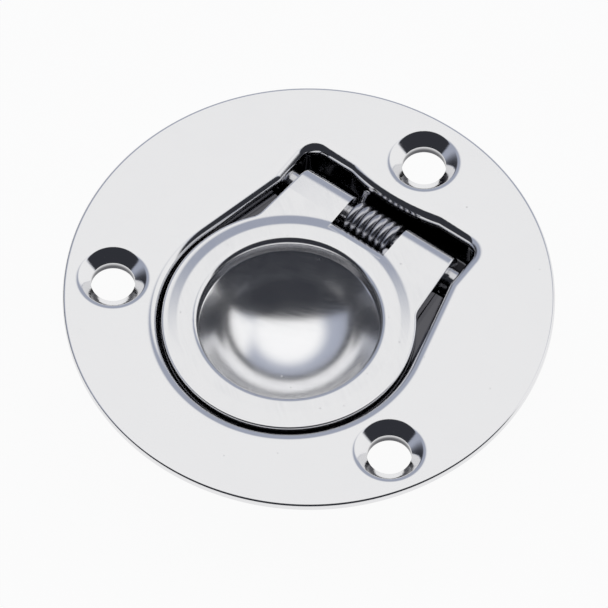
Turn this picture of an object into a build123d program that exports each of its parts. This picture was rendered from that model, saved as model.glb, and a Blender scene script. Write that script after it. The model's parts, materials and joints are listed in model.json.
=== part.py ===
"""Recessed pull handle: a round plate pressed from one steel sheet, with a ring that lies flush
in it, turns up on a hinge pin and is folded flat again by a torsion spring.

Millimetres. +Z is up and out of the panel, +Y runs from the finger bowl to the hinge, and the
origin is the middle of the plate on the seating plane, which is the flange's underside.
Heights of the features are given as depths below the flange's top face.
"""
from build123d import *
import os
from math import cos, pi, radians, sin, sqrt, tan

# Plate
sheet = 1.0                # thickness of the pressed sheet
rim_land = 1.36            # flat sheet between a dimple's lip and the plate's rim
rim_round = 0.4            # rounding of the plate's rim, top side
shoulder_under_r = 0.6     # underside radius of the rolled edge from the flange into the recess
floor_corner_r = 0.4       # inside radius between the recess's wall and floor
dimple_land = 0.1          # least flat sheet between a dimple's lip and the recess's shoulder

# Screw dimples
screw_count = 3
screw_hole_d = 5.9
dimple_depth = 1.45        # from the flange's top to the upper edge of the screw hole
dimple_slope = 40.0        # degrees of the cone below the flange
dimple_under_r = 0.2       # underside radius where the flange rolls into the cone

# Ring handle
ring_d = 33.7
ring_hole_d = 23.9
ring_thick = 2.4           # at its crown
ring_depth = 0.1           # its crown's depth below the flange's top
crown_flat_d = 29.8        # outside of the crown's flat
crown_foot_d = 32.8        # foot of the crown's outward slope
crown_rise = 0.3           # height of the crown over the lug
ring_lip_r = 1.0           # rounding round the finger hole, top side
handle_edge_r = 0.35       # rounding of the handle's other edges
ring_to_hinge = 19.15      # from the ring's centre to the hinge pin
lug_rear_w = 24.4          # width over the lug's barrel
lug_front_w = 25.8         # width where the lug meets the ring
lug_front_y = 7.0          # where that width is measured
lug_corner_r = 2.5         # inside corner between lug and ring
barrel_d = 5.2             # round rear edge of the lug, on the pin

# Hinge pin
hinge_y = 14.7
pin_d = 2.6
pin_play = 0.06            # radial, in the lug's bore
pin_seat = 0.02            # radial, in the pocket's walls
pin_head_d = 2.8
pin_head_h = 0.5
pin_head_r = 0.35          # rounding of the head's outer edge

# Torsion spring
wire_d = 0.95
wire_gap = 0.05            # between two turns
coil_play = 0.3            # radial, between the pin and the coil
whole_turns = 7
wall_leg_angle = 33.0      # degrees below the horizontal at which the wall leg leaves the coil
push_leg_lean = 14.0       # degrees the other leg leans forward from the vertical
push_leg_length = 1.8
leg_touch = 0.05           # air between a leg and what it leans on

# Spring notch in the lug
notch_side_gap = 0.12      # between the coil's ends and the notch
notch_front_gap = 0.4      # between the coil and the notch's front wall
notch_round = 1.7          # rounding of the notch's front edge
notch_corner_r = 0.7

# Recess
ring_gap = 0.45            # round the ring
floor_gap = 0.1            # under the ring
lug_gap = 1.4              # beside the lug
rear_gap = 2.0             # behind the lug's barrel
pocket_gap = 0.8           # in front of the barrel
pocket_floor_gap = 0.4     # under the barrel
flare_angle = 14.0         # degrees by which the recess widens from the hinge to the ring
pocket_corner_r = 2.0      # rear corners, at the wall
side_bend_r = 3.0          # bend between the pocket's side and the flare
wall_dent = 0.85           # the rear wall bows in by this much, clear of the rear screw
dent_half_w = 7.0
pocket_front_r = 0.5       # front corners in plan, at the wall

# Finger bowl
bowl_rim_d = 24.4
bowl_depth = 10.0          # below the flange's top
bowl_edge_r = 1.0

# Places that follow from the sizes above
top = sheet
ring_y = hinge_y - ring_to_hinge
ring_r = ring_d / 2
barrel_r = barrel_d / 2
pin_r = pin_d / 2
lug_depth = ring_depth + crown_rise
under_depth = ring_depth + ring_thick
lug_thick = under_depth - lug_depth
hinge_depth = lug_depth + barrel_r
hinge_z = top - hinge_depth
recess_depth = under_depth + floor_gap
pocket_depth = hinge_depth + barrel_r + pocket_floor_gap
recess_r = ring_r + ring_gap
pocket_w = lug_rear_w / 2 + lug_gap
rear_y = hinge_y + barrel_r + rear_gap
pocket_front_y = hinge_y - barrel_r - pocket_gap

coil_r = pin_r + coil_play + wire_d / 2
pitch = wire_d + wire_gap
coil_turns = whole_turns + (180 - push_leg_lean - wall_leg_angle) / 360
coil_length = coil_turns * pitch + wire_d
dent_at_leg = wall_dent * (1 - ((coil_length - wire_d) / 2 / dent_half_w)**2)
wall_leg_end = rear_y - dent_at_leg - leg_touch - wire_d / 2
wall_leg_start = hinge_y + coil_r * cos(radians(wall_leg_angle))
wall_leg_length = (wall_leg_end - wall_leg_start) / sin(radians(wall_leg_angle))
notch_w = coil_length + 2 * notch_side_gap
notch_y = hinge_y - coil_r - wire_d / 2 - notch_front_gap

shoulder_r = sheet + shoulder_under_r
dimple_roll_r = sheet + dimple_under_r
slope = radians(dimple_slope)
hole_r = screw_hole_d / 2
lip_r = hole_r + dimple_depth / tan(slope) + dimple_roll_r * tan(slope / 2)
front_reach = recess_r + shoulder_r + dimple_land + lip_r
screw_r = max(
    (-ring_y + sqrt(4 * front_reach**2 - 3 * ring_y**2)) / 2,
    rear_y - wall_dent + shoulder_r + dimple_land + lip_r,
)
plate_r = screw_r + lip_r + rim_land


def prism(face, low, high):
    """The face drawn at the origin's height, as a solid between two heights."""
    return Pos(0, 0, low) * extrude(face, high - low)


def outline(grow, start, radii):
    """One side of the recess in plan, grown by an offset: from its first points up the flare and the
    hinge pocket's side, round the rear corner, and closed with its mirror image and the dented wall."""
    side, rear = pocket_w + grow, rear_y + grow
    flare = radians(flare_angle)
    bend_y = ring_y + (recess_r + grow - side * cos(flare)) / sin(flare)
    corners = [*start, (side, bend_y), (side, rear), (dent_half_w, rear)]
    wall = FilletPolyline(*corners, radius=[*radii, side_bend_r - grow, pocket_corner_r + grow])
    dent = ThreePointArc((dent_half_w, rear), (0, rear - wall_dent), (-dent_half_w, rear))
    return wall + dent + mirror(wall, Plane.YZ)


def recess_outline(grow):
    """The whole recess in plan: the flared sides meet the circle round the ring."""
    radius, flare = recess_r + grow, radians(flare_angle)
    foot = (radius * cos(flare), ring_y + radius * sin(flare))
    front = ThreePointArc((-foot[0], foot[1]), (0, ring_y - radius), foot)
    return make_face(outline(grow, [foot], []) + front)


def pocket_outline(grow):
    """The hinge pocket in plan: the recess behind the pocket's own front wall."""
    flare, front_y = radians(flare_angle), pocket_front_y - grow
    half_w = (recess_r + grow - (front_y - ring_y) * sin(flare)) / cos(flare)
    return make_face(outline(grow, [(0, front_y), (half_w, front_y)], [pocket_front_r + grow]))


def recess_body(grow):
    """The recess under the ring: its hollow, or the sheet's outside round it."""
    body = prism(recess_outline(grow), top - recess_depth - grow, top)
    return fillet(body.edges().group_by(Axis.Z)[0], floor_corner_r + grow)


def pocket_body(grow):
    """The deeper pocket that the lug's barrel turns in, the same way."""
    body = prism(pocket_outline(grow), top - pocket_depth - grow, top)
    return fillet(body.edges().group_by(Axis.Z)[0], floor_corner_r + grow)


def bowl_body(grow):
    """The finger bowl, a part of a ball under the recess's floor, the same way."""
    drop = bowl_depth - recess_depth
    bowl_r = ((bowl_rim_d / 2)**2 + drop**2) / (2 * drop)
    floor_z = top - recess_depth
    ball = Pos(0, ring_y, top - bowl_depth + bowl_r) * Sphere(bowl_r + grow)
    return ball & (Pos(0, ring_y, floor_z - bowl_r) * Cylinder(bowl_r * 2, bowl_r * 2))


def dimple(grow, high):
    """A screw dimple about the Z axis, up to a height: its hollow, or the sheet's outside round it."""
    roll = dimple_roll_r - grow
    lip_z = top - grow
    cone = (lip_r - roll * sin(slope), lip_z - roll * (1 - cos(slope)))
    middle = (lip_r - roll * sin(slope / 2), lip_z - roll * (1 - cos(slope / 2)))
    low = top - dimple_depth - grow / cos(slope)
    side = ThreePointArc((lip_r, lip_z), middle, cone) + Line(cone, (hole_r, low))
    inside = Polyline((hole_r, low), (0, low), (0, high), (lip_r, high), (lip_r, lip_z))
    return revolve(Plane.XZ * make_face(side + inside), Axis.Z)


def level_edges(body, height, reach):
    """The body's edges at one height whose middle lies within a radius of the Z axis."""
    level = body.edges().filter_by_position(Axis.Z, height - 0.001, height + 0.001)
    return level.filter_by(lambda e: e.center().length < reach)


def bar_x(radius, half_length, y, z):
    """A round bar along X, centred on X = 0."""
    return Pos(0, y, z) * Rot(0, 90, 0) * Cylinder(radius, 2 * half_length)


def round_edges(body, height):
    """The body's full-circle edges at one height, the widest last."""
    level = body.edges().filter_by_position(Axis.Z, height - 0.001, height + 0.001)
    return level.filter_by(GeomType.CIRCLE).filter_by(lambda e: e.is_closed).sort_by(SortBy.LENGTH)


def base_plate():
    """Flange, rolled recess, hinge pocket, finger bowl and screw dimples, pressed from one sheet."""
    plate = prism(Circle(plate_r), 0, top)
    for body in (recess_body, pocket_body, bowl_body):
        plate += body(sheet)
    plate = fillet(level_edges(plate, 0, plate_r - 1), shoulder_under_r)
    for body in (recess_body, pocket_body, bowl_body):
        plate -= body(0)
    plate = fillet(level_edges(plate, top, plate_r - 1), shoulder_r)
    plate = fillet(round_edges(plate, top)[-1:], rim_round)
    plate = fillet(round_edges(plate, top - recess_depth)[-1:], bowl_edge_r)
    screws = PolarLocations(screw_r, screw_count, start_angle=90, rotate=False)
    plate += screws * dimple(sheet, top)
    plate -= screws * dimple(0, top + sheet)
    plate -= screws * Cylinder(hole_r, 4 * (dimple_depth + sheet))
    return plate - bar_x(pin_r + pin_seat, pocket_w + 2 * sheet, hinge_y, hinge_z)


def handle_outline():
    """Ring and lug in plan, to the rear of the barrel."""
    taper = (lug_front_w - lug_rear_w) / 2 / (hinge_y - lug_front_y)
    rear_end = hinge_y + barrel_r
    rear = lug_rear_w / 2 - taper * barrel_r
    front = lug_rear_w / 2 + taper * ring_to_hinge
    sides = Polyline((-rear, rear_end), (-front, ring_y), (front, ring_y), (rear, rear_end), close=True)
    plan = Pos(0, ring_y) * Circle(ring_r) + make_face(sides)
    corners = plan.vertices().filter_by(lambda v: ring_y < v.Y < hinge_y)
    return fillet(corners, lug_corner_r)


def handle_body():
    """The plan's outline cut to the side view: a plate as far as the hinge line, then the barrel."""
    under = top - under_depth
    plate = Pos(0, hinge_y - ring_d, under + lug_thick / 2) * Box(2 * ring_d, 2 * ring_d, lug_thick)
    side = plate + bar_x(barrel_r, ring_d, hinge_y, hinge_z)
    level = side.edges().filter_by(Axis.X).filter_by_position(Axis.Z, under - 0.001, under + 0.001)
    side = fillet(level.sort_by(Axis.Y)[-1:], handle_edge_r)
    body = side & prism(handle_outline(), hinge_z - barrel_d, top)
    across = body.edges().filter_by(GeomType.LINE).filter_by(lambda e: abs((e % 0.5).Y) < 0.01)
    return fillet(body.edges() - across, handle_edge_r)


def ring_crown():
    """The raised crown of the ring, about the Z axis, with its slope down to the lug's level."""
    flat, foot = crown_flat_d / 2, crown_foot_d / 2
    high, low, deep = top - ring_depth, top - lug_depth, top - under_depth + ring_thick / 2
    side = Polyline((0, deep), (foot, deep), (foot, low), (flat, high), (0, high), close=True)
    return revolve(Plane.XZ * make_face(side), Axis.Z)


def notch_cutter():
    """The notch that the spring sits in: open to the rear and below, its front edge rolled over."""
    low, high, rear = top - under_depth - barrel_d, top - lug_depth, hinge_y + barrel_d
    over, lip_y = high + barrel_d, notch_y - notch_round
    roll = CenterArc((lip_y, high - notch_round), notch_round, 0, 90)
    above = Polyline((lip_y, high), (lip_y, over), (rear, over), (rear, low))
    side = make_face(roll + above + Polyline((rear, low), (notch_y, low), (notch_y, high - notch_round)))
    return extrude(Plane.YZ * side, notch_w / 2, both=True)


def ring_handle():
    """The ring, its lug and the lug's round rear edge in one piece, with the notch for the spring."""
    handle = handle_body()
    handle += Pos(0, ring_y, 0) * ring_crown()
    handle -= Pos(0, ring_y, hinge_z) * Cylinder(ring_hole_d / 2, 4 * ring_thick)
    handle = fillet(round_edges(handle, top - ring_depth)[:1], ring_lip_r)
    return handle - notch_cutter() - bar_x(pin_r + pin_play, lug_rear_w, hinge_y, hinge_z)


def hinge_pin():
    """The pin through the lug and both pocket walls, with a peened head on each outside."""
    reach = pocket_w + sheet + pin_seat
    heads = bar_x(pin_head_d / 2, reach + pin_head_h, hinge_y, hinge_z)
    heads = fillet(heads.edges().filter_by(GeomType.CIRCLE), pin_head_r)
    heads -= bar_x(pin_head_d, reach, hinge_y, hinge_z)
    return heads + bar_x(pin_r, reach, hinge_y, hinge_z)


def torsion_spring():
    """The coil on the pin: one leg up the pocket's rear wall, the other against the notch's front."""
    half_length, start = (coil_length - wire_d) / 2, radians(wall_leg_angle)
    place = Plane((-half_length, hinge_y, hinge_z), x_dir=(0, cos(start), -sin(start)), z_dir=(1, 0, 0))
    coil = place * Helix(pitch, 2 * half_length, coil_r, lefthand=True)
    lean = radians(push_leg_lean)
    up, rear = Vector(0, -sin(lean), cos(lean)), Vector(0, sin(start), cos(start))
    wall_leg = Line(coil @ 0 + rear * wall_leg_length, coil @ 0)
    push_leg = Line(coil @ 1, coil @ 1 + up * push_leg_length)
    path = Wire([wall_leg, coil, push_leg])
    return sweep((path ^ 0) * Circle(wire_d / 2), path, is_frenet=True)


if __name__ == "__main__":
    os.makedirs("parts", exist_ok=True)
    export_step(base_plate(), "parts/base_plate.step")
    export_step(ring_handle(), "parts/ring_handle.step")
    export_step(hinge_pin(), "parts/hinge_pin.step")
    export_step(torsion_spring(), "parts/torsion_spring.step")
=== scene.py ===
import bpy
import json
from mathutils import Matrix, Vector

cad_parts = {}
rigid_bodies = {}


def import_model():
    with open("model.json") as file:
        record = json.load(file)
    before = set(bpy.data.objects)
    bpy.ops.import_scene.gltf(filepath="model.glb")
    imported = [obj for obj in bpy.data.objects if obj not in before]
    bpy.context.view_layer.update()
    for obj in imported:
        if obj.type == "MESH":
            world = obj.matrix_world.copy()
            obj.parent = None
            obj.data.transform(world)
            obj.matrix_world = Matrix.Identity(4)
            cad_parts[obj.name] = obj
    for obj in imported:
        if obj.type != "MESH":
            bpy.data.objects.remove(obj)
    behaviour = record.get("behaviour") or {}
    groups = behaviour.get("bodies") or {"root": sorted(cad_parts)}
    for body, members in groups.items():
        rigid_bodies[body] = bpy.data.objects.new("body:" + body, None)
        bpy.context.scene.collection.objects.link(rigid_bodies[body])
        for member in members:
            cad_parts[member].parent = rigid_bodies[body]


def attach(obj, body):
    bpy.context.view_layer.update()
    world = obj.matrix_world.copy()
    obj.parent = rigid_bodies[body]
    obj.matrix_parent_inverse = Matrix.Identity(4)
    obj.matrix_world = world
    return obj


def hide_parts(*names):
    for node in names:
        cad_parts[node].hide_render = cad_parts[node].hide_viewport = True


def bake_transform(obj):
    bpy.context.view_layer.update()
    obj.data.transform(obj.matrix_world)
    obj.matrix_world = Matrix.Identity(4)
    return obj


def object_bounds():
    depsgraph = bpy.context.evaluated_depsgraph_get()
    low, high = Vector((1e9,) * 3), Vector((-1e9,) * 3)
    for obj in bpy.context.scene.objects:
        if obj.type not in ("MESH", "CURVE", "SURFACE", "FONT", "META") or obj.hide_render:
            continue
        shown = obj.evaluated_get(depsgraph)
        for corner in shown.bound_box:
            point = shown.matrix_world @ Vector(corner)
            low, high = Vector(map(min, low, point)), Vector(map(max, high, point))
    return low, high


bl_info = {
    "name": "Recessed Ring Pull",
    "version": (1, 0, 0),
    "blender": (4, 5, 0),
    "location": "View3D > Sidebar > Ring Pull",
    "description": "Dresses a round flush ring pull in polished steel and sets it in a light studio",
    "category": "Object",
}

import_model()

import json
from math import asin, atan, cos, degrees, pi, radians, sin, sqrt, tan

import bmesh
import bpy
from bpy.props import FloatProperty, FloatVectorProperty, IntProperty, PointerProperty
from mathutils import Matrix, Vector

MM = 0.001                 # metres in a millimetre
LAND = 0.05                # mm of flat kept beside each rounding, so that the flats reflect flat
MERGE = 0.002              # mm within which two vertices are one
FLAT = 0.004               # mm within which a mesh item counts as lying at one height
NEAR = 0.01                # mm within which a vertex, edge or face counts as lying at a place
HOLE_REACH = 0.08          # mm within which a vertex belongs to a screw hole's lower edge
SHARP = radians(32)        # edges steeper than this stay sharp
CORNER = radians(60)       # edges steeper than this are the lug's corners, to be rounded
MANY = 40                  # a face with more corners than this is one of the lug's two flats
CAD_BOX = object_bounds()


def length(name, text, size_mm):
    """A length property with its default given in millimetres."""
    return FloatProperty(name=name, description=text, default=size_mm * MM, precision=5, unit="LENGTH")


def slant(name, text, size_degrees):
    """An angle property with its default given in degrees."""
    return FloatProperty(name=name, description=text, default=radians(size_degrees), subtype="ANGLE")


def colour(name, text, rgb):
    """A colour property."""
    return FloatVectorProperty(name=name, description=text, default=rgb, size=3, min=0, max=1,
                               subtype="COLOR")


class RingPullPlate(bpy.types.PropertyGroup):
    """Sizes of the pressed plate."""
    top: length("Flange top", "Height of the flange's top face, which is the sheet's thickness", 1.0)
    radius: length("Radius", "Radius of the plate", 32.505)
    rim_round: length("Rim rounding", "Rounding of the plate's upper rim", 0.4)
    shoulder: length("Shoulder", "Radius of the rolled edge into the recess", 1.6)
    floor_corner: length("Floor corner", "Radius between the recess's wall and floor", 0.4)
    ring_y: length("Ring centre", "Place of the ring's centre along Y", -4.45)
    recess: length("Recess radius", "Radius of the recess round the ring", 17.3)
    recess_depth: length("Recess depth", "Depth of the recess under the flange's top", 2.6)
    pocket_depth: length("Pocket depth", "Depth of the hinge pocket under the flange's top", 6.0)
    side: length("Pocket side", "Half the hinge pocket's width", 13.6)
    rear: length("Pocket rear", "Place of the pocket's rear wall along Y", 19.3)
    front: length("Pocket front", "Place of the pocket's front wall along Y", 11.3)
    rear_corner: length("Rear corner", "Radius of the pocket's rear corners in plan", 2.0)
    side_bend: length("Side bend", "Radius of the bend between the pocket's side and the flare", 3.0)
    dent: length("Wall dent", "Depth by which the rear wall bows in", 0.85)
    dent_half: length("Dent half width", "Half the width of that bow", 7.0)
    flare: slant("Flare", "Angle by which the recess widens towards the ring", 14)
    bowl_rim: length("Bowl rim", "Radius of the finger bowl at the recess's floor", 12.2)
    bowl_depth: length("Bowl depth", "Depth of the bowl under the flange's top", 10.0)
    bowl_slope: slant("Bowl slope", "Slope of the bowl's sides", 50)
    bowl_edge: length("Bowl edge", "Rounding of the bowl's rim", 1.0)
    screw_circle: length("Screw circle", "Radius of the circle through the screw holes", 26.03)
    screw_hole: length("Screw hole", "Radius of a screw hole", 2.95)
    screws: IntProperty(name="Screws", description="Number of screw holes", default=3, min=1)
    dimple_depth: length("Dimple depth", "Depth of a dimple at its hole's upper edge", 1.45)
    dimple_roll: length("Dimple roll", "Radius of the dimple's rolled lip", 1.2)
    dimple_slope: slant("Dimple slope", "Angle of the dimple's cone below the flange", 40)


class RingPullHandle(bpy.types.PropertyGroup):
    """Sizes of the ring handle."""
    ring: length("Ring radius", "Outer radius of the ring", 16.85)
    hole: length("Ring hole", "Radius of the finger hole", 11.95)
    crown_foot: length("Crown foot", "Radius of the foot of the crown's slope", 16.3)
    crown_flat: length("Crown flat", "Radius at which the crown's flat ends", 14.9)
    crown_top: length("Crown top", "Height of the crown", 0.9)
    lug_top: length("Lug top", "Height of the lug's upper face", 0.6)
    under: length("Underside", "Height of the handle's flat underside", -1.5)
    lip: length("Ring lip", "Rounding round the finger hole", 1.0)
    edge: length("Edge", "Rounding of the handle's other edges", 0.35)
    hinge_y: length("Hinge Y", "Place of the hinge line along Y", 14.7)
    hinge_z: length("Hinge Z", "Height of the hinge line", -2.0)
    barrel: length("Barrel", "Radius of the lug's round rear edge", 2.6)
    bore: length("Bore", "Radius of the bore for the hinge pin", 1.36)
    rear_half: length("Rear half width", "Half the lug's width over its barrel", 12.2)
    front_half: length("Front half width", "Half the lug's width where it meets the ring", 12.9)
    straight_from: length("Straight from", "Where along Y the lug's sides have become straight", 8.2)
    front_y: length("Front width place", "Where along Y that width is measured", 7.0)
    corner: length("Lug corner", "Radius of the inside corner between lug and ring", 2.5)
    notch_half: length("Notch half width", "Half the width of the notch for the spring", 4.2796)
    notch_y: length("Notch front", "Place of the notch's front wall along Y", 11.75)
    notch_roll: length("Notch roll", "Radius of the notch's rolled front edge", 1.7)


class RingPullHinge(bpy.types.PropertyGroup):
    """Sizes of the hinge pin and its torsion spring."""
    pin: length("Pin radius", "Radius of the hinge pin", 1.3)
    pin_half: length("Pin half length", "Half the pin's length between its heads", 14.62)
    head: length("Head radius", "Radius of a peened head", 1.4)
    head_height: length("Head height", "Height of a peened head", 0.5)
    head_round: length("Head rounding", "Rounding of a peened head", 0.35)
    wire: length("Wire radius", "Radius of the spring wire", 0.475)
    coil: length("Coil radius", "Radius of the coil at the wire's middle", 2.075)
    pitch: length("Pitch", "Distance from one turn to the next", 1.0)
    turns: FloatProperty(name="Turns", description="Turns of the coil from leg to leg", default=7.3694)
    wall_leg: length("Wall leg", "Length of the leg up the pocket's rear wall", 3.158)
    push_leg: length("Push leg", "Length of the leg against the notch", 1.8)
    leg_angle: slant("Leg angle", "Angle below the horizontal where the wall leg starts", 33)
    leg_lean: slant("Leg lean", "Angle by which the other leg leans forward", 14)


class RingPullLooks(bpy.types.PropertyGroup):
    """Colours of the metal and the studio."""
    sheet_metal: colour("Sheet steel", "Reflection colour of the polished plate", (0.80, 0.80, 0.81))
    bowl_metal: colour("Bowl steel", "Reflection colour of the satin bowl", (0.93, 0.93, 0.94))
    # painted shade: a dark base colour low in the groove round the ring and in the hinge pocket, which
    # stands in for dark reflections there
    groove_painted_shade: colour("Groove painted shade", "Reflection colour low in groove and pocket", (0.10, 0.10, 0.11))
    cast_metal: colour("Cast steel", "Reflection colour of the polished handle", (0.79, 0.79, 0.80))
    pin_metal: colour("Pin steel", "Reflection colour of the hinge pin", (0.62, 0.62, 0.64))
    wire_metal: colour("Spring steel", "Reflection colour of the spring wire", (0.50, 0.50, 0.53))
    floor_colour: colour("Floor", "Colour of the pale floor", (0.92, 0.92, 0.93))
    softbox: colour("Softbox", "Colour of the large light behind the part", (1.0, 1.0, 1.0))
    softbox_foot: colour("Softbox foot", "Colour of that light down at the horizon", (0.40, 0.43, 0.52))
    dark_side: colour("Dark side", "Colour of the unlit room on the near side", (0.035, 0.037, 0.045))


def mm(group, name):
    """A size of a property group in millimetres."""
    return getattr(group, name) / MM


# --- modelling by hand, in code -------------------------------------------------------------------

def deselect():
    """Leaves edit mode and deselects every object."""
    if bpy.context.mode != "OBJECT":
        bpy.ops.object.mode_set(mode="OBJECT")
    bpy.ops.object.select_all(action="DESELECT")


def only(piece):
    """Selects one object alone, in object mode."""
    deselect()
    piece.select_set(True)
    bpy.context.view_layer.objects.active = piece


def face_out():
    """Points all the faces of the mesh in edit mode outwards."""
    bpy.ops.mesh.select_all(action="SELECT")
    bpy.ops.mesh.normals_make_consistent(inside=False)


def merge_all(reach):
    """Merges the vertices of the mesh in edit mode that lie within a reach of each other."""
    bpy.ops.mesh.select_all(action="SELECT")
    bpy.ops.mesh.remove_doubles(threshold=reach)


def split_at(y):
    """Cuts the mesh in edit mode with a plane across Y, and keeps both sides."""
    bpy.ops.mesh.select_all(action="SELECT")
    bpy.ops.mesh.bisect(plane_co=(0, y, 0), plane_no=(0, 1, 0))


def start(name, add, **settings):
    """Adds a primitive with nothing else selected and opens it in edit mode."""
    deselect()
    add(**settings)
    piece = bpy.context.object
    piece.name = name
    piece.data.name = name
    bpy.ops.object.transform_apply(location=True, rotation=True, scale=True)
    bpy.ops.object.mode_set(mode="EDIT")
    bpy.ops.mesh.select_mode(type="VERT")
    return piece


def pick(test, kind="verts"):
    """Selects the vertices, edges or faces of the mesh in edit mode that pass a test."""
    modes = {"verts": "VERT", "edges": "EDGE", "faces": "FACE"}
    bpy.ops.mesh.select_mode(type=modes[kind])
    bpy.ops.mesh.select_all(action="DESELECT")
    data = bpy.context.object.data
    mesh = bmesh.from_edit_mesh(data)
    for item in getattr(mesh, kind):
        if test(item):
            item.select_set(True)
    mesh.select_flush_mode()
    bmesh.update_edit_mesh(data)


def middle(item):
    """The middle of an edge or a face."""
    points = [corner.co for corner in item.verts]
    return sum(points, Vector()) / len(points)


def at_height(item, height):
    """Whether all of an edge or face lies at one height."""
    return all(abs(corner.co.z - height) < FLAT for corner in item.verts)


def spin(angle, steps, centre, axis):
    """Spins what is selected by the right-hand rule: with no window the operator turns the other way."""
    bpy.ops.mesh.spin(steps=steps, angle=-angle, center=centre, axis=axis)


def trace(first, steps, z=0.0, name="outline"):
    """Draws a line from a point by extruding and spinning one vertex. A step is ("line", point) or
    ("arc", centre, degrees, segments)."""
    piece = start(name, bpy.ops.mesh.primitive_plane_add, size=1, location=(*first, z))
    bpy.ops.mesh.merge(type="CENTER")
    here = Vector((*first, z))
    for step in steps:
        if step[0] == "line":
            move = Vector((*step[1], z)) - here
            bpy.ops.mesh.extrude_vertices_move(TRANSFORM_OT_translate={"value": move})
            here += move
        else:
            centre = Vector((*step[1], z))
            angle = radians(step[2])
            spin(angle, step[3], centre, (0, 0, 1))
            here = centre + Matrix.Rotation(angle, 3, "Z") @ (here - centre)
    return piece


def close_and_mirror():
    """Mirrors the half outline in edit mode to -X and fills it with a face that looks up."""
    bpy.ops.mesh.select_all(action="SELECT")
    bpy.ops.mesh.symmetrize(direction="POSITIVE_X", threshold=MERGE)
    merge_all(MERGE)
    bpy.ops.mesh.edge_face_add()
    face_up()


def face_up():
    """Turns the selected flat face over if it looks down."""
    faces = [face for face in bmesh.from_edit_mesh(bpy.context.object.data).faces if face.select]
    faces[0].normal_update()
    if faces[0].normal.z < 0:
        bpy.ops.mesh.flip_normals()


def press(steps):
    """Presses the selected face down by (inward, downward) steps, each a ring of new faces."""
    for inward, down in steps:
        if inward > 1e-5:
            bpy.ops.mesh.inset(thickness=inward, depth=-down, use_even_offset=True)
        else:
            bpy.ops.mesh.extrude_region_move(TRANSFORM_OT_translate={"value": (0, 0, -down)})


def rolled_edge(radius, count, sweep=90.0, first=0.0):
    """Steps of a convex edge that rolls from one slope to a steeper one, in degrees."""
    angles = [radians(first + (sweep - first) * i / count) for i in range(count + 1)]
    return [(radius * (sin(b) - sin(a)), radius * (cos(a) - cos(b))) for a, b in zip(angles, angles[1:])]


def hollow_corner(radius, count, first=90.0, last=0.0):
    """Steps of a concave corner that flattens out from one slope to a lesser one, in degrees."""
    angles = [radians(first + (last - first) * i / count) for i in range(count + 1)]
    return [(radius * (sin(a) - sin(b)), radius * (cos(b) - cos(a))) for a, b in zip(angles, angles[1:])]


def fill_between(test):
    """Fills the flat between the closed loops of edges that pass a test."""
    pick(lambda edge: len(edge.link_faces) < 2 and test(edge), "edges")
    bpy.ops.mesh.fill(use_beauty=True)


def join(pieces, name):
    """Joins pieces into the first."""
    deselect()
    for piece in pieces:
        piece.select_set(True)
    bpy.context.view_layer.objects.active = pieces[0]
    bpy.ops.object.join()
    piece = bpy.context.object
    piece.name = name
    piece.data.name = name
    bpy.ops.object.transform_apply(location=True, rotation=True, scale=True)
    bpy.ops.object.mode_set(mode="EDIT")
    merge_all(MERGE)
    return piece


def stand_along_x(first):
    """Turns X, Y and Z as drawn into the part's Y, Z and X, starting from a place along X."""
    return Matrix(((0, 0, 1, first), (1, 0, 0, 0), (0, 1, 0, 0), (0, 0, 0, 1)))


def add_modifier(piece, kind, **settings):
    """Adds a modifier and applies it."""
    modifier = piece.modifiers.new(kind.title(), kind)
    for name, value in settings.items():
        setattr(modifier, name, value)
    bpy.ops.object.modifier_apply(modifier=modifier.name)


def finish(piece, body, node, material):
    """Scales a piece down to its size, smooths it, and puts it in the CAD node's place."""
    only(piece)
    piece.scale = (MM, MM, MM)
    bpy.ops.object.transform_apply(location=True, rotation=True, scale=True)
    bpy.ops.object.shade_smooth_by_angle(angle=SHARP)
    piece.data.materials.clear()
    piece.data.materials.append(material)
    if body:
        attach(piece, body)
    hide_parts(node)


# --- the pressed plate ----------------------------------------------------------------------------

def recess_outline(sizes, grow):
    """Half the recess's outline in plan, grown by an offset, as a first point and steps."""
    flare = sizes.flare
    ring_y, side, rear = mm(sizes, "ring_y"), mm(sizes, "side") + grow, mm(sizes, "rear") + grow
    radius, bend_r = mm(sizes, "recess") + grow, mm(sizes, "side_bend") - grow
    corner_r, dent, dent_half = mm(sizes, "rear_corner") + grow, mm(sizes, "dent"), mm(sizes, "dent_half")
    bend_y = ring_y + (radius - side * cos(flare)) / sin(flare)
    reach = bend_r * tan(flare / 2)
    dent_r = (dent_half**2 + dent**2) / (2 * dent)
    return (0, ring_y - radius), [
        ("arc", (0, ring_y), 90 + degrees(flare), 64),
        ("line", (side + reach * sin(flare), bend_y - reach * cos(flare))),
        ("arc", (side + bend_r, bend_y + reach), -degrees(flare), 6),
        ("line", (side, rear - corner_r)),
        ("arc", (side - corner_r, rear - corner_r), 90, 14),
        ("line", (dent_half, rear)),
        ("arc", (0, rear - dent + dent_r), -degrees(asin(dent_half / dent_r)), 12),
    ]


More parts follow.
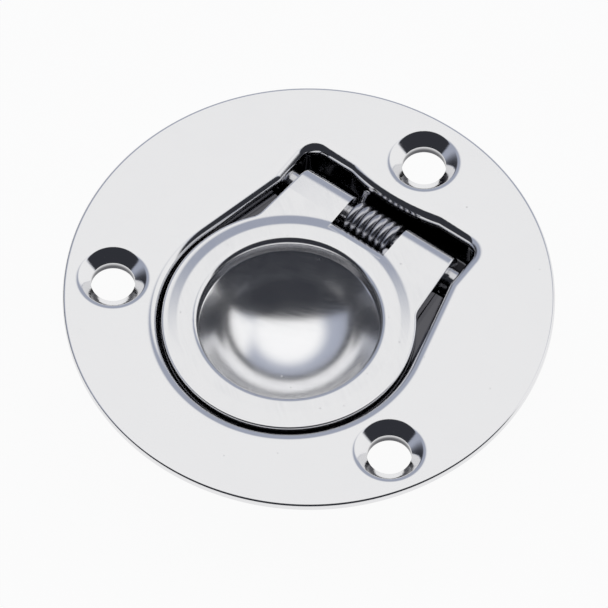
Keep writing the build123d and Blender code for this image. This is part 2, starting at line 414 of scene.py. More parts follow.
def model_recess(sizes):
    """The recess and the hinge pocket, from the flat of the flange down."""
    top, shoulder, corner = mm(sizes, "top"), mm(sizes, "shoulder"), mm(sizes, "floor_corner")
    floor = top - mm(sizes, "recess_depth")
    pocket_floor, front = top - mm(sizes, "pocket_depth"), mm(sizes, "front")
    piece = trace(*recess_outline(sizes, shoulder + LAND), z=top, name="recess")
    close_and_mirror()
    wall = mm(sizes, "recess_depth") - shoulder - corner
    press([(LAND, 0)] + rolled_edge(shoulder, 24) + [(0, wall)] + hollow_corner(corner, 6) + [(LAND, 0)])
    bpy.ops.mesh.delete(type="ONLY_FACE")

    split_at(front)
    ledge = floor + corner
    pick(lambda face: middle(face).y > front and middle(face).z < ledge - 0.001, "faces")
    bpy.ops.mesh.delete(type="FACE")
    pick(lambda edge: not edge.link_faces and middle(edge).z < ledge, "edges")
    bpy.ops.mesh.delete(type="EDGE")

    def on_front(vert):
        return abs(vert.co.y - front) < NEAR and abs(vert.co.z - floor) < FLAT
    inner = min(abs(vert.co.x) for vert in bmesh.from_edit_mesh(piece.data).verts if on_front(vert))
    pick(lambda vert: on_front(vert) and abs(abs(vert.co.x) - inner) < NEAR)
    bpy.ops.mesh.edge_face_add()
    pick(lambda edge: len(edge.link_faces) < 2 and middle(edge).z < ledge + 0.001
         and min(v.co.y for v in edge.verts) > front - NEAR, "edges")
    bpy.ops.mesh.extrude_region_move(TRANSFORM_OT_translate={"value": (0, 0, -1)})
    bottom = pocket_floor + corner
    bpy.ops.transform.resize(value=(1, 1, 0), center_override=(0, 0, bottom))
    pick(lambda vert: abs(vert.co.z - bottom) < 0.001 and abs(vert.co.y - front) < NEAR
         and all(abs(edge.other_vert(vert).co.y - front) < NEAR for edge in vert.link_edges))
    bpy.ops.mesh.dissolve_verts()
    pick(lambda edge: len(edge.link_faces) < 2 and at_height(edge, bottom), "edges")
    bpy.ops.mesh.edge_face_add()
    face_up()
    press(hollow_corner(corner, 6) + [(LAND, 0)])
    return piece


def model_bowl(sizes):
    """The finger bowl, from the flat of the recess's floor down to its pole."""
    top, rim, edge = mm(sizes, "top"), mm(sizes, "bowl_rim"), mm(sizes, "bowl_edge")
    floor = top - mm(sizes, "recess_depth")
    drop = mm(sizes, "bowl_depth") - mm(sizes, "recess_depth")
    slope = sizes.bowl_slope
    ball = (rim * tan(slope) - drop) / (1 / cos(slope) - 1)
    outer = rim + edge * tan(slope / 2)
    run = outer - edge * sin(slope) - ball * sin(slope)
    piece = start("bowl", bpy.ops.mesh.primitive_circle_add, vertices=144, radius=outer + LAND,
                  fill_type="NGON", location=(0, mm(sizes, "ring_y"), floor))
    pick(lambda face: True, "faces")
    press([(LAND, 0)] + rolled_edge(edge, 10, degrees(slope)) + [(run / 8, run / 8 * tan(slope))] * 8
          + hollow_corner(ball, 30, degrees(slope), degrees(slope) / 30))
    bpy.ops.mesh.poke()
    return piece


def model_dimple(sizes, angle):
    """One screw dimple, from the flat of the flange down to the hole's upper edge."""
    top, roll, hole = mm(sizes, "top"), mm(sizes, "dimple_roll"), mm(sizes, "screw_hole")
    slope, depth = sizes.dimple_slope, mm(sizes, "dimple_depth")
    lip = hole + depth / tan(slope) + roll * tan(slope / 2)
    circle = mm(sizes, "screw_circle")
    piece = start("dimple", bpy.ops.mesh.primitive_circle_add, vertices=96, radius=lip + LAND,
                  fill_type="NGON", location=(circle * cos(angle), circle * sin(angle), top))
    pick(lambda face: True, "faces")
    run = lip - roll * sin(slope) - hole
    press([(LAND, 0)] + rolled_edge(roll, 10, degrees(slope)) + [(run / 3, run / 3 * tan(slope))] * 3)
    bpy.ops.mesh.delete(type="FACE")
    return piece


def straighten_hole(sizes, angle):
    """Draws in the lower edge of a dimple's wall, so that the screw hole goes straight through."""
    top, hole, circle = (mm(sizes, name) for name in ("top", "screw_hole", "screw_circle"))
    slope = sizes.dimple_slope
    wide = hole + top * sin(slope)
    low = top - mm(sizes, "dimple_depth") - top / cos(slope)
    edge_z = low + top * sin(slope) * tan(slope)
    centre = Vector((circle * cos(angle), circle * sin(angle), low))
    pick(lambda vert: abs((vert.co - centre).xy.length - wide) < HOLE_REACH
         and abs(vert.co.z - edge_z) < HOLE_REACH)
    bpy.ops.transform.resize(value=(hole / wide, hole / wide, 0), center_override=centre)


class OBJECT_OT_ring_pull_plate(bpy.types.Operator):
    """Model the pressed plate: flange, rolled recess, hinge pocket, finger bowl and screw dimples"""
    bl_idname = "object.ring_pull_plate"
    bl_label = "Pressed Plate"

    def execute(self, context):
        sizes = context.scene.ring_pull_plate
        top, radius, rim_round = (mm(sizes, name) for name in ("top", "radius", "rim_round"))
        floor = top - mm(sizes, "recess_depth")
        rim = start("rim", bpy.ops.mesh.primitive_circle_add, vertices=256, radius=radius,
                    fill_type="NGON", location=(0, 0, top))
        pick(lambda face: True, "faces")
        bpy.ops.mesh.inset(thickness=rim_round + LAND, use_even_offset=True)
        bpy.ops.mesh.delete(type="ONLY_FACE")
        parts = [rim, model_recess(sizes), model_bowl(sizes)]
        places = [pi / 2 + 2 * pi * i / sizes.screws for i in range(sizes.screws)]
        parts += [model_dimple(sizes, angle) for angle in places]
        piece = join(parts, "plate_shell")
        fill_between(lambda edge: at_height(edge, top)
                     and middle(edge).xy.length < radius - rim_round / 2)
        fill_between(lambda edge: at_height(edge, floor))
        face_out()
        bpy.ops.object.mode_set(mode="OBJECT")
        if sum(face.normal.z * face.area for face in piece.data.polygons) < 0:
            piece.data.flip_normals()
        add_modifier(piece, "SOLIDIFY", thickness=top, offset=-1, use_even_offset=True, use_rim=True)
        bpy.ops.object.mode_set(mode="EDIT")
        for angle in places:
            straighten_hole(sizes, angle)
        pick(lambda edge: at_height(edge, top)
             and all(abs(corner.co.xy.length - radius) < 2 * NEAR for corner in edge.verts), "edges")
        bpy.ops.mesh.bevel(offset=rim_round, segments=6, profile=0.5, affect="EDGES")
        steel = pressed_steel("base_plate", sizes, context.scene.ring_pull_looks)
        finish(piece, "base", "base_plate", steel)
        return {"FINISHED"}


# --- the ring handle ------------------------------------------------------------------------------

def handle_outline(sizes, ring_y):
    """Half the handle's outline in plan to the hinge line, as a first point and steps."""
    ring, corner = mm(sizes, "ring"), mm(sizes, "corner")
    hinge_y, rear_half = mm(sizes, "hinge_y"), mm(sizes, "rear_half")
    taper = lug_taper(sizes)
    lean = atan(taper)     # how far the lug's side leans from Y
    # the corner's centre lies its own radius off the lug's side and off the ring
    off_side = (rear_half + taper * (hinge_y - ring_y)) * cos(lean) + corner
    along = sqrt((ring + corner)**2 - off_side**2)
    centre = (off_side * cos(lean) - along * sin(lean), off_side * sin(lean) + along * cos(lean))
    meet = asin(centre[1] / (ring + corner))
    return (0, ring_y - ring), [
        ("arc", (0, ring_y), 90 + degrees(meet), 80),
        ("arc", (centre[0], ring_y + centre[1]), degrees(lean - meet), 10),
        ("line", (rear_half, hinge_y)),
        ("line", (0, hinge_y)),
    ]


def lug_taper(sizes):
    """How much the lug's half width grows for each millimetre towards the ring."""
    wider = mm(sizes, "front_half") - mm(sizes, "rear_half")
    return wider / (mm(sizes, "hinge_y") - mm(sizes, "front_y"))


def model_lug(sizes, ring_y):
    """The handle's outline with its barrel and rounded edges, its flats cut open for the ring."""
    high, under = mm(sizes, "lug_top"), mm(sizes, "under")
    hinge_y, hinge_z = mm(sizes, "hinge_y"), mm(sizes, "hinge_z")
    barrel, half, taper = mm(sizes, "barrel"), mm(sizes, "rear_half"), lug_taper(sizes)
    corner_y = mm(sizes, "straight_from")
    piece = trace(*handle_outline(sizes, ring_y), z=high, name="lug")
    close_and_mirror()
    bpy.ops.mesh.dissolve_limited(angle_limit=radians(0.01))
    bpy.ops.mesh.select_all(action="SELECT")
    bpy.ops.mesh.extrude_region_move(TRANSFORM_OT_translate={"value": (0, 0, under - high)})

    pick(lambda face: abs(middle(face).y - hinge_y) < NEAR, "faces")
    bpy.ops.mesh.delete(type="FACE")
    pick(lambda edge: at_height(edge, high)
         and all(abs(corner.co.y - hinge_y) < NEAR for corner in edge.verts), "edges")
    meet = asin((under - hinge_z) / barrel)
    spin(-(3 * pi / 2 - meet), 72, (0, hinge_y, hinge_z), (1, 0, 0))
    seam_y = hinge_y - barrel * cos(meet)
    split_at(seam_y)
    pick(lambda face: at_height(face, under) and middle(face).y > seam_y, "faces")
    bpy.ops.mesh.delete(type="FACE")
    merge_all(NEAR)

    pick(lambda face: abs(face.normal.x) > 0.9 and middle(face).y > corner_y, "faces")
    bpy.ops.mesh.delete(type="FACE")
    mesh = bmesh.from_edit_mesh(piece.data)
    for vert in mesh.verts:
        if vert.co.y > corner_y and abs(vert.co.x) > half - 0.5:
            vert.co.x = (half + taper * (hinge_y - vert.co.y)) * (1 if vert.co.x > 0 else -1)
    bmesh.update_edit_mesh(piece.data)
    for side in (1, -1):
        pick(lambda edge: len(edge.link_faces) < 2 and middle(edge).x * side > 0
             and middle(edge).y > corner_y - 3, "edges")
        bpy.ops.mesh.edge_face_add()
    face_out()

    pick(lambda edge: len(edge.link_faces) == 2
         and edge.link_faces[0].normal.angle(edge.link_faces[1].normal) > CORNER, "edges")
    bpy.ops.mesh.bevel(offset=mm(sizes, "edge"), segments=6, profile=0.5, affect="EDGES")
    pick(lambda face: len(face.verts) > MANY, "faces")
    bpy.ops.mesh.inset(thickness=LAND, use_even_offset=True, use_individual=True)
    pick(lambda face: len(face.verts) > MANY and abs(face.normal.z) > 0.99, "faces")
    bpy.ops.mesh.delete(type="ONLY_FACE")
    return piece


def model_ring(sizes, ring_y):
    """The ring's crown and finger hole, from the lug's top to the underside."""
    foot, flat, hole, lip = (mm(sizes, name) for name in ("crown_foot", "crown_flat", "hole", "lip"))
    high, top, under = mm(sizes, "lug_top"), mm(sizes, "crown_top"), mm(sizes, "under")
    piece = start("crown", bpy.ops.mesh.primitive_circle_add, vertices=192, radius=foot + LAND,
                  fill_type="NGON", location=(0, ring_y, high))
    pick(lambda face: True, "faces")
    slope = atan((top - high) / (foot - flat))
    soft = 2.0             # radius that eases the slope's two ends
    ease = [(run, -fall) for run, fall in rolled_edge(soft, 4, degrees(slope))]
    rise = top - high - 2 * soft * (1 - cos(slope))
    steps = [(LAND, 0), *ease, (rise / tan(slope), -rise), *reversed(ease)]
    reached = foot - sum(step[0] for step in steps[1:])
    steps += [(LAND, 0), (reached - hole - lip - 2 * LAND, 0), (LAND, 0)]
    steps += rolled_edge(lip, 14) + [(0, (top - under - lip) / 2)] * 2
    press(steps)
    bpy.ops.mesh.delete(type="ONLY_FACE")
    return piece


def notch_cutter(sizes):
    """A cutter with the notch's rolled front edge, open to the rear and below."""
    lip_y, roll = mm(sizes, "notch_y") - mm(sizes, "notch_roll"), mm(sizes, "notch_roll")
    high, half = mm(sizes, "lug_top"), mm(sizes, "notch_half")
    rear, low = mm(sizes, "hinge_y") + 4, mm(sizes, "hinge_z") - 4
    piece = trace((lip_y, high + 2), [("line", (lip_y, high)), ("arc", (lip_y, high - roll), -90, 14),
                                      ("line", (lip_y + roll, low)), ("line", (rear, low)),
                                      ("line", (rear, high + 2))], name="notch_cutter")
    bpy.ops.mesh.select_all(action="SELECT")
    bpy.ops.mesh.edge_face_add()
    bpy.ops.mesh.extrude_region_move(TRANSFORM_OT_translate={"value": (0, 0, 2 * half)})
    face_out()
    bpy.ops.object.mode_set(mode="OBJECT")
    piece.data.transform(stand_along_x(-half) @ piece.matrix_world)
    piece.matrix_world = Matrix()
    return piece


def bore_cutter(sizes):
    """A bar along X to cut the hinge pin's bore with, longer than the lug is wide."""
    deselect()
    bpy.ops.mesh.primitive_cylinder_add(vertices=64, radius=mm(sizes, "bore"), depth=40,
                                        location=(0, mm(sizes, "hinge_y"), mm(sizes, "hinge_z")),
                                        rotation=(0, pi / 2, 0))
    bpy.ops.object.transform_apply(location=True, rotation=True, scale=True)
    return bpy.context.object


def cut(piece, cutter):
    """Cuts a piece with another, which is used up."""
    only(piece)
    add_modifier(piece, "BOOLEAN", operation="DIFFERENCE", solver="EXACT", object=cutter)
    bpy.data.objects.remove(cutter)


class OBJECT_OT_ring_pull_handle(bpy.types.Operator):
    """Model the ring handle: ring, lug, round rear edge and the notch for the spring"""
    bl_idname = "object.ring_pull_handle"
    bl_label = "Ring Handle"

    def execute(self, context):
        sizes, looks = context.scene.ring_pull_handle, context.scene.ring_pull_looks
        ring_y = mm(context.scene.ring_pull_plate, "ring_y")
        piece = join([model_lug(sizes, ring_y), model_ring(sizes, ring_y)], "ring_shell")
        fill_between(lambda edge: at_height(edge, mm(sizes, "lug_top")))
        fill_between(lambda edge: at_height(edge, mm(sizes, "under"))
                     and middle(edge).y < mm(sizes, "hinge_y"))
        bpy.ops.mesh.select_all(action="SELECT")
        bpy.ops.mesh.fill_holes(sides=0)
        face_out()
        for place in (mm(sizes, "notch_y") - mm(sizes, "notch_roll") - LAND, mm(sizes, "hinge_y") - LAND):
            split_at(place)
        cut(piece, notch_cutter(sizes))
        cut(piece, bore_cutter(sizes))
        finish(piece, "handle", "ring_handle", polished_steel("ring_handle", looks.cast_metal, worn=True))
        return {"FINISHED"}


# --- the hinge pin and its spring -----------------------------------------------------------------

class OBJECT_OT_ring_pull_pin(bpy.types.Operator):
    """Model the hinge pin with its peened heads"""
    bl_idname = "object.ring_pull_pin"
    bl_label = "Hinge Pin"

    def execute(self, context):
        sizes, handle = context.scene.ring_pull_hinge, context.scene.ring_pull_handle
        half, pin, head = mm(sizes, "pin_half"), mm(sizes, "pin"), mm(sizes, "head")
        tall, rounding = mm(sizes, "head_height"), mm(sizes, "head_round")
        piece = start("pin_shank", bpy.ops.mesh.primitive_circle_add, vertices=64, radius=pin,
                      fill_type="NGON", location=(0, 0, half))
        pick(lambda face: True, "faces")
        bpy.ops.mesh.inset(thickness=0.01, use_even_offset=True)
        bpy.ops.transform.resize(value=(head / pin, head / pin, 1), center_override=(0, 0, half))
        bpy.ops.mesh.extrude_region_move(TRANSFORM_OT_translate={"value": (0, 0, tall)})
        pick(lambda edge: at_height(edge, half + tall), "edges")
        bpy.ops.mesh.bevel(offset=rounding, segments=5, affect="EDGES")
        pick(lambda face: at_height(face, half + tall), "faces")
        bpy.ops.mesh.poke()
        pick(lambda edge: len(edge.link_faces) == 1, "edges")
        bpy.ops.mesh.extrude_region_move(TRANSFORM_OT_translate={"value": (0, 0, -half)})
        bpy.ops.mesh.select_all(action="SELECT")
        bpy.ops.mesh.symmetrize(direction="POSITIVE_Z", threshold=MERGE)
        merge_all(MERGE)
        bpy.ops.mesh.normals_make_consistent(inside=False)
        bpy.ops.object.mode_set(mode="OBJECT")
        place = Matrix.Translation((0, mm(handle, "hinge_y"), mm(handle, "hinge_z")))
        piece.data.transform(place @ Matrix.Rotation(pi / 2, 4, "Y") @ piece.matrix_world)
        piece.matrix_world = Matrix()
        looks = context.scene.ring_pull_looks
        finish(piece, "base", "hinge_pin", drawn_steel("hinge_pin", looks.pin_metal))
        return {"FINISHED"}


class OBJECT_OT_ring_pull_spring(bpy.types.Operator):
    """Wind the torsion spring and bend out its two legs"""
    bl_idname = "object.ring_pull_spring"
    bl_label = "Torsion Spring"

    def execute(self, context):
        sizes, handle = context.scene.ring_pull_hinge, context.scene.ring_pull_handle
        wire, coil, pitch = mm(sizes, "wire"), mm(sizes, "coil"), mm(sizes, "pitch")
        half = sizes.turns * pitch / 2
        piece = start("spring_wire", bpy.ops.mesh.primitive_circle_add, vertices=24, radius=wire,
                      location=(coil, 0, 0), rotation=(pi / 2, 0, 0))
        bpy.ops.object.mode_set(mode="OBJECT")
        steps = round(sizes.turns * 56)
        add_modifier(piece, "SCREW", angle=-2 * pi * sizes.turns, screw_offset=2 * half, steps=steps,
                     render_steps=steps, iterations=1, axis="Z")
        # stand the coil along X, its start at the wall leg's angle below the horizontal
        turn = Matrix.Rotation(-sizes.leg_angle, 4, "X")
        place = Matrix.Translation((0, mm(handle, "hinge_y"), mm(handle, "hinge_z")))
        piece.data.transform(place @ turn @ stand_along_x(-half))
        bpy.ops.object.mode_set(mode="EDIT")
        rear = Vector((0, sin(sizes.leg_angle), cos(sizes.leg_angle)))
        up = Vector((0, -sin(sizes.leg_lean), cos(sizes.leg_lean)))
        for side, way, reach in ((-1, rear, mm(sizes, "wall_leg")), (1, up, mm(sizes, "push_leg"))):
            pick(lambda edge: len(edge.link_faces) == 1 and middle(edge).x * side > 0, "edges")
            for share in (0.06, 0.44, 0.5):
                bpy.ops.mesh.extrude_region_move(TRANSFORM_OT_translate={"value": way * reach * share})
            bpy.ops.mesh.edge_face_add()
            bpy.ops.mesh.inset(thickness=0.08, depth=0.06)
            bpy.ops.mesh.poke()
        face_out()
        looks = context.scene.ring_pull_looks
        finish(piece, None, "torsion_spring", drawn_steel("torsion_spring", looks.wire_metal))
        reach = (half - wire) * MM
        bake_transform(piece)
        return {"FINISHED"}


# --- finishes -------------------------------------------------------------------------------------

def feed(tree, socket, value):
    """Sets a node's input, or links it if the value is another node's output."""
    if isinstance(value, bpy.types.NodeSocket):
        tree.links.new(value, socket)
    else:
        socket.default_value = value


def maths(tree, operation, *values):
    """A Math node on numbers or outputs."""
    node = tree.nodes.new("ShaderNodeMath")
    node.operation = operation
    for socket, value in zip(node.inputs, values):
        feed(tree, socket, value)
    return node.outputs["Value"]


def vector_maths(tree, operation, *values):
    """A Vector Math node on vectors or outputs."""
    node = tree.nodes.new("ShaderNodeVectorMath")
    node.operation = operation
    for socket, value in zip(node.inputs, values):
        feed(tree, socket, value)
    return node.outputs["Value" if operation in ("DOT_PRODUCT", "LENGTH") else "Vector"]


def remap(tree, value, first, last, low=0.0, high=1.0, kind="SMOOTHSTEP"):
    """A Map Range node that takes first..last to low..high."""
    node = tree.nodes.new("ShaderNodeMapRange")
    node.interpolation_type = kind
    for name, number in (("From Min", first), ("From Max", last), ("To Min", low), ("To Max", high)):
        node.inputs[name].default_value = number
    tree.links.new(value, node.inputs["Value"])
    return node.outputs["Result"]


def mix_colours(tree, share, first, second):
    """A Mix node between two colours."""
    node = tree.nodes.new("ShaderNodeMix")
    node.data_type = "RGBA"
    feed(tree, node.inputs["Factor"], share)
    feed(tree, node.inputs["A"], first)
    feed(tree, node.inputs["B"], second)
    return node.outputs["Result"]


def noise(tree, place, scale, detail):
    """A noise texture."""
    node = tree.nodes.new("ShaderNodeTexNoise")
    node.inputs["Detail"].default_value = detail
    tree.links.new(place, node.inputs["Vector"])
    feed(tree, node.inputs["Scale"], scale)
    return node.outputs["Fac"]


def fine_marks_group():
    """A node group of polishing marks: fine lines along one direction, small specks, and clouds."""
    if "Fine Marks" in bpy.data.node_groups:
        return bpy.data.node_groups["Fine Marks"]
    group = bpy.data.node_groups.new("Fine Marks", "ShaderNodeTree")
    for name, default in (("Lines Scale", 400.0), ("Speck Scale", 900.0), ("Speck Share", 0.2),
                          ("Angle", 0.0)):
        socket = group.interface.new_socket(name=name, in_out="INPUT", socket_type="NodeSocketFloat")
        socket.default_value = default
    for name in ("Marks", "Specks", "Clouds"):
        group.interface.new_socket(name=name, in_out="OUTPUT", socket_type="NodeSocketFloat")
    nodes, link = group.nodes, group.links.new
    inward, outward = nodes.new("NodeGroupInput"), nodes.new("NodeGroupOutput")
    place = nodes.new("ShaderNodeTexCoord").outputs["Object"]

    turn = nodes.new("ShaderNodeVectorRotate")
    turn.rotation_type = "Z_AXIS"
    link(place, turn.inputs["Vector"])
    link(inward.outputs["Angle"], turn.inputs["Angle"])
    stretched = vector_maths(group, "MULTIPLY", turn.outputs["Vector"], (1.0, 22.0, 6.0))
    link(noise(group, stretched, inward.outputs["Lines Scale"], 3.0), outward.inputs["Marks"])

    specks = nodes.new("ShaderNodeTexVoronoi")
    link(place, specks.inputs["Vector"])
    link(inward.outputs["Speck Scale"], specks.inputs["Scale"])
    spot = remap(group, specks.outputs["Distance"], 0.0, 0.16, 1.0, 0.0, "LINEAR")
    chosen = maths(group, "LESS_THAN", specks.outputs["Color"], inward.outputs["Speck Share"])
    link(maths(group, "MULTIPLY", spot, chosen), outward.inputs["Specks"])

    link(noise(group, place, 180.0, 4.0), outward.inputs["Clouds"])
    return group


def steel_material(name, rgb, smooth, rough, bump, lines, specks, angle=0.0):
    """Steel whose roughness wanders between two values with its marks, which also bump it."""
    material = bpy.data.materials.new(name)
    material.use_nodes = True
    tree = material.node_tree
    link = tree.links.new
    shader = tree.nodes["Principled BSDF"]
    shader.inputs["Metallic"].default_value = 1.0
    marks = tree.nodes.new("ShaderNodeGroup")
    marks.node_tree = fine_marks_group()
    marks.inputs["Lines Scale"].default_value = lines
    marks.inputs["Speck Share"].default_value = specks
    marks.inputs["Angle"].default_value = angle
    cloudy = maths(tree, "MULTIPLY", marks.outputs["Marks"], marks.outputs["Clouds"])
    wander = remap(tree, cloudy, 0.15, 0.38, smooth, rough, "LINEAR")
    link(maths(tree, "MULTIPLY_ADD", marks.outputs["Specks"], 0.25, wander), shader.inputs["Roughness"])
    dim = tuple(value * 0.72 for value in rgb)
    link(mix_colours(tree, marks.outputs["Specks"], (*rgb, 1), (*dim, 1)), shader.inputs["Base Color"])
    relief = tree.nodes.new("ShaderNodeBump")
    relief.inputs["Strength"].default_value = bump
    relief.inputs["Distance"].default_value = 0.02 * MM
    link(marks.outputs["Marks"], relief.inputs["Height"])
    link(relief.outputs["Normal"], shader.inputs["Normal"])
    return material


def polished_steel(name, rgb, worn=False):
    """Mirror-polished stainless, a little more worn where the hand takes hold."""
    if worn:
        return steel_material(name, rgb, 0.06, 0.20, 0.35, 320.0, 0.22, radians(35))
    return steel_material(name, rgb, 0.05, 0.12, 0.10, 260.0, 0.12, radians(-20))


def drawn_steel(name, rgb):
    """Plain turned or drawn steel."""
    return steel_material(name, rgb, 0.16, 0.32, 0.25, 500.0, 0.10)


def pressed_steel(name, sizes, looks):
    """The plate's polish: satin in the finger bowl, with painted shade low in the groove round the ring
    and in the hinge pocket, where a dark base colour stands in for dark reflections."""
    material = polished_steel(name, looks.sheet_metal)
    tree = material.node_tree
    rough, base = (tree.nodes["Principled BSDF"].inputs[name] for name in ("Roughness", "Base Color"))
    place = tree.nodes.new("ShaderNodeTexCoord").outputs["Object"]
    apart = tree.nodes.new("ShaderNodeSeparateXYZ")
    tree.links.new(place, apart.inputs["Vector"])
    from_ring = vector_maths(tree, "MULTIPLY_ADD", place, (1, 1, 0), (0, -sizes.ring_y, 0))
    # painted shade: below the flange and outside the ring's radius the base colour is mixed towards a
    # dark colour, which stands in for dark reflections low in the groove and the hinge pocket
    low = remap(tree, apart.outputs["Z"], -0.3 * MM, -1.3 * MM)
    outside = remap(tree, vector_maths(tree, "LENGTH", from_ring), 15.8 * MM, 16.8 * MM)
    groove = maths(tree, "MULTIPLY", low, outside)
    bowl = maths(tree, "SUBTRACT", low, groove)
    tree.links.new(maths(tree, "MULTIPLY_ADD", bowl, 0.12, rough.links[0].from_socket), rough)
    bright = mix_colours(tree, bowl, base.links[0].from_socket, (*looks.bowl_metal, 1))
    tree.links.new(mix_colours(tree, groove, bright, (*looks.groove_painted_shade, 1)), base)
    return material


# --- the studio -----------------------------------------------------------------------------------

CAMERA_AZIMUTH = radians(35.8)
CAMERA_ELEVATION = radians(58.3)
CAMERA_ROLL = radians(-0.33)
CAMERA_DISTANCE = 1.5836
CAMERA_SHIFT = (0.637 * MM, 1.283 * MM)
FOCAL_SHARE = 12000 / 608          # focal length over the sensor's width
SENSOR = 36.0                      # width of the camera's sensor in mm
SOFTBOX_EDGE = radians(16)         # how far past the zenith the softbox reaches
FLOOR_GLOW = 0.94                  # share of plain white in the floor; the rest takes the shadow
FLOOR_GAP = 0.004                  # how far below the part the floor lies


def place_camera(scene, top):
    """The camera, looking down on the plate from in front and to the right."""
    toward = Vector((sin(CAMERA_AZIMUTH) * cos(CAMERA_ELEVATION),
                     -cos(CAMERA_AZIMUTH) * cos(CAMERA_ELEVATION), sin(CAMERA_ELEVATION)))
    right = Vector((cos(CAMERA_AZIMUTH), sin(CAMERA_AZIMUTH), 0))
    up = toward.cross(right)
    level = Matrix((right, up, toward)).transposed()
    turned = level @ Matrix.Rotation(-CAMERA_ROLL, 3, "Z")
    right, up = turned.col[0], turned.col[1]
    place = toward * CAMERA_DISTANCE - right * CAMERA_SHIFT[0] - up * CAMERA_SHIFT[1]
    place += Vector((0, 0, top))
    data = bpy.data.cameras.new("camera")
    data.sensor_width = SENSOR
    data.lens = SENSOR * FOCAL_SHARE
    data.clip_end = 10.0
    camera = bpy.data.objects.new("camera", data)
    camera.matrix_world = Matrix.Translation(place) @ turned.to_4x4()
    scene.collection.objects.link(camera)
    scene.camera = camera


def light_world(scene, looks):
    """A white room for the camera; for the metal, a large softbox behind and above the part that
    ends a little past the zenith and dims towards the horizon, a white card on the right, and an
    unlit near side."""
    world = bpy.data.worlds.new("studio")
    world.use_nodes = True
    scene.world = world
    tree = world.node_tree
    tree.nodes.clear()
    place = tree.nodes.new("ShaderNodeTexCoord").outputs["Generated"]
    up = Vector((0, 0, 1))
    near = Vector((sin(CAMERA_AZIMUTH), -cos(CAMERA_AZIMUTH), 0))
    side = Vector((cos(CAMERA_AZIMUTH), sin(CAMERA_AZIMUTH), 0))

    def facing(direction, first, last):
        return remap(tree, vector_maths(tree, "DOT_PRODUCT", place, direction), first, last)
    behind = facing(up * sin(SOFTBOX_EDGE) - near * cos(SOFTBOX_EDGE), -0.05, 0.05)
    softbox = maths(tree, "MULTIPLY", behind, facing(side + (near + up) * 0.5, -1.05, -0.75))
    card = maths(tree, "MULTIPLY", facing(side, 0.55, 0.75), facing(-near, -0.20, -0.05))
    lit = mix_colours(tree, facing(up, 0.64, 0.85), (*looks.softbox_foot, 1), (*looks.softbox, 1))
    room = mix_colours(tree, softbox, (*looks.dark_side, 1), lit)
    room = mix_colours(tree, card, room, (*looks.softbox, 1))

    seen, white = (tree.nodes.new("ShaderNodeBackground") for _ in range(2))
    feed(tree, seen.inputs["Color"], room)
    feed(tree, white.inputs["Color"], (1, 1, 1, 1))
    mix = tree.nodes.new("ShaderNodeMixShader")
    feed(tree, mix.inputs["Fac"], tree.nodes.new("ShaderNodeLightPath").outputs["Is Camera Ray"])
    feed(tree, mix.inputs[1], seen.outputs[0])
    feed(tree, mix.inputs[2], white.outputs[0])
    feed(tree, tree.nodes.new("ShaderNodeOutputWorld").inputs["Surface"], mix.outputs[0])


def floor_material(looks):
    """A pale floor that the camera and the metal see nearly white, with a faint shadow."""
    material = bpy.data.materials.new("floor")
    material.use_nodes = True
    tree = material.node_tree
    shader = tree.nodes["Principled BSDF"]
    shader.inputs["Base Color"].default_value = (*looks.floor_colour, 1)
    shader.inputs["Roughness"].default_value = 0.9
    shader.inputs["Specular IOR Level"].default_value = 0.0
    path = tree.nodes.new("ShaderNodeLightPath")
    seen = maths(tree, "ADD", path.outputs["Is Camera Ray"], path.outputs["Is Glossy Ray"])
    mix = tree.nodes.new("ShaderNodeMixShader")
    feed(tree, mix.inputs["Fac"], maths(tree, "MULTIPLY", seen, FLOOR_GLOW))
    feed(tree, mix.inputs[1], shader.outputs[0])
    feed(tree, mix.inputs[2], tree.nodes.new("ShaderNodeEmission").outputs[0])
    feed(tree, tree.nodes["Material Output"].inputs["Surface"], mix.outputs[0])
    return material


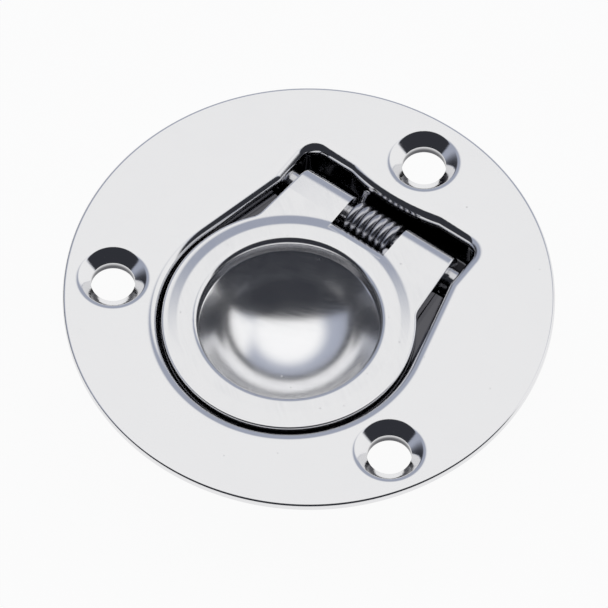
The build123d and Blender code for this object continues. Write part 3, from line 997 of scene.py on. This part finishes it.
class OBJECT_OT_ring_pull_stage(bpy.types.Operator):
    """Set up the pale floor, the soft light and the camera"""
    bl_idname = "object.ring_pull_stage"
    bl_label = "Stage"

    def execute(self, context):
        scene = context.scene
        looks = scene.ring_pull_looks
        for left_over in [item for item in bpy.data.objects if item.name in ("Cube", "Light", "Camera")]:
            bpy.data.objects.remove(left_over)
        place_camera(scene, scene.ring_pull_plate.top)
        light_world(scene, looks)
        deselect()
        bpy.ops.mesh.primitive_plane_add(size=4.0, location=(0, 0, CAD_BOX[0][2] - FLOOR_GAP))
        floor = context.object
        floor.name = "floor"
        floor.data.materials.append(floor_material(looks))
        scene.view_settings.view_transform = "Standard"
        return {"FINISHED"}


class VIEW3D_PT_ring_pull(bpy.types.Panel):
    """Sizes, colours and pieces of the ring pull"""
    bl_label = "Ring Pull"
    bl_space_type = "VIEW_3D"
    bl_region_type = "UI"
    bl_category = "Ring Pull"

    def draw(self, context):
        for title, name, operators in PANEL_ROWS:
            box = self.layout.box()
            box.label(text=title)
            group = getattr(context.scene, name)
            for prop in group.__annotations__:
                box.prop(group, prop)
            for operator in operators:
                box.operator(operator)


PANEL_ROWS = (
    ("Plate", "ring_pull_plate", ("object.ring_pull_plate",)),
    ("Handle", "ring_pull_handle", ("object.ring_pull_handle",)),
    ("Hinge", "ring_pull_hinge", ("object.ring_pull_pin", "object.ring_pull_spring")),
    ("Looks", "ring_pull_looks", ("object.ring_pull_stage",)),
)
GROUPS = {
    "ring_pull_plate": RingPullPlate,
    "ring_pull_handle": RingPullHandle,
    "ring_pull_hinge": RingPullHinge,
    "ring_pull_looks": RingPullLooks,
}
CLASSES = (*GROUPS.values(), OBJECT_OT_ring_pull_stage, OBJECT_OT_ring_pull_plate,
           OBJECT_OT_ring_pull_handle, OBJECT_OT_ring_pull_pin, OBJECT_OT_ring_pull_spring,
           VIEW3D_PT_ring_pull)


def register():
    for cls in CLASSES:
        bpy.utils.register_class(cls)
    for name, group in GROUPS.items():
        setattr(bpy.types.Scene, name, PointerProperty(type=group))


def unregister():
    for name in GROUPS:
        delattr(bpy.types.Scene, name)
    for cls in reversed(CLASSES):
        bpy.utils.unregister_class(cls)


def main():
    """Models every piece in turn."""
    register()
    bpy.ops.object.ring_pull_stage()
    bpy.ops.object.ring_pull_plate()
    bpy.ops.object.ring_pull_handle()
    bpy.ops.object.ring_pull_pin()
    bpy.ops.object.ring_pull_spring()


if __name__ == "__main__":
    main()
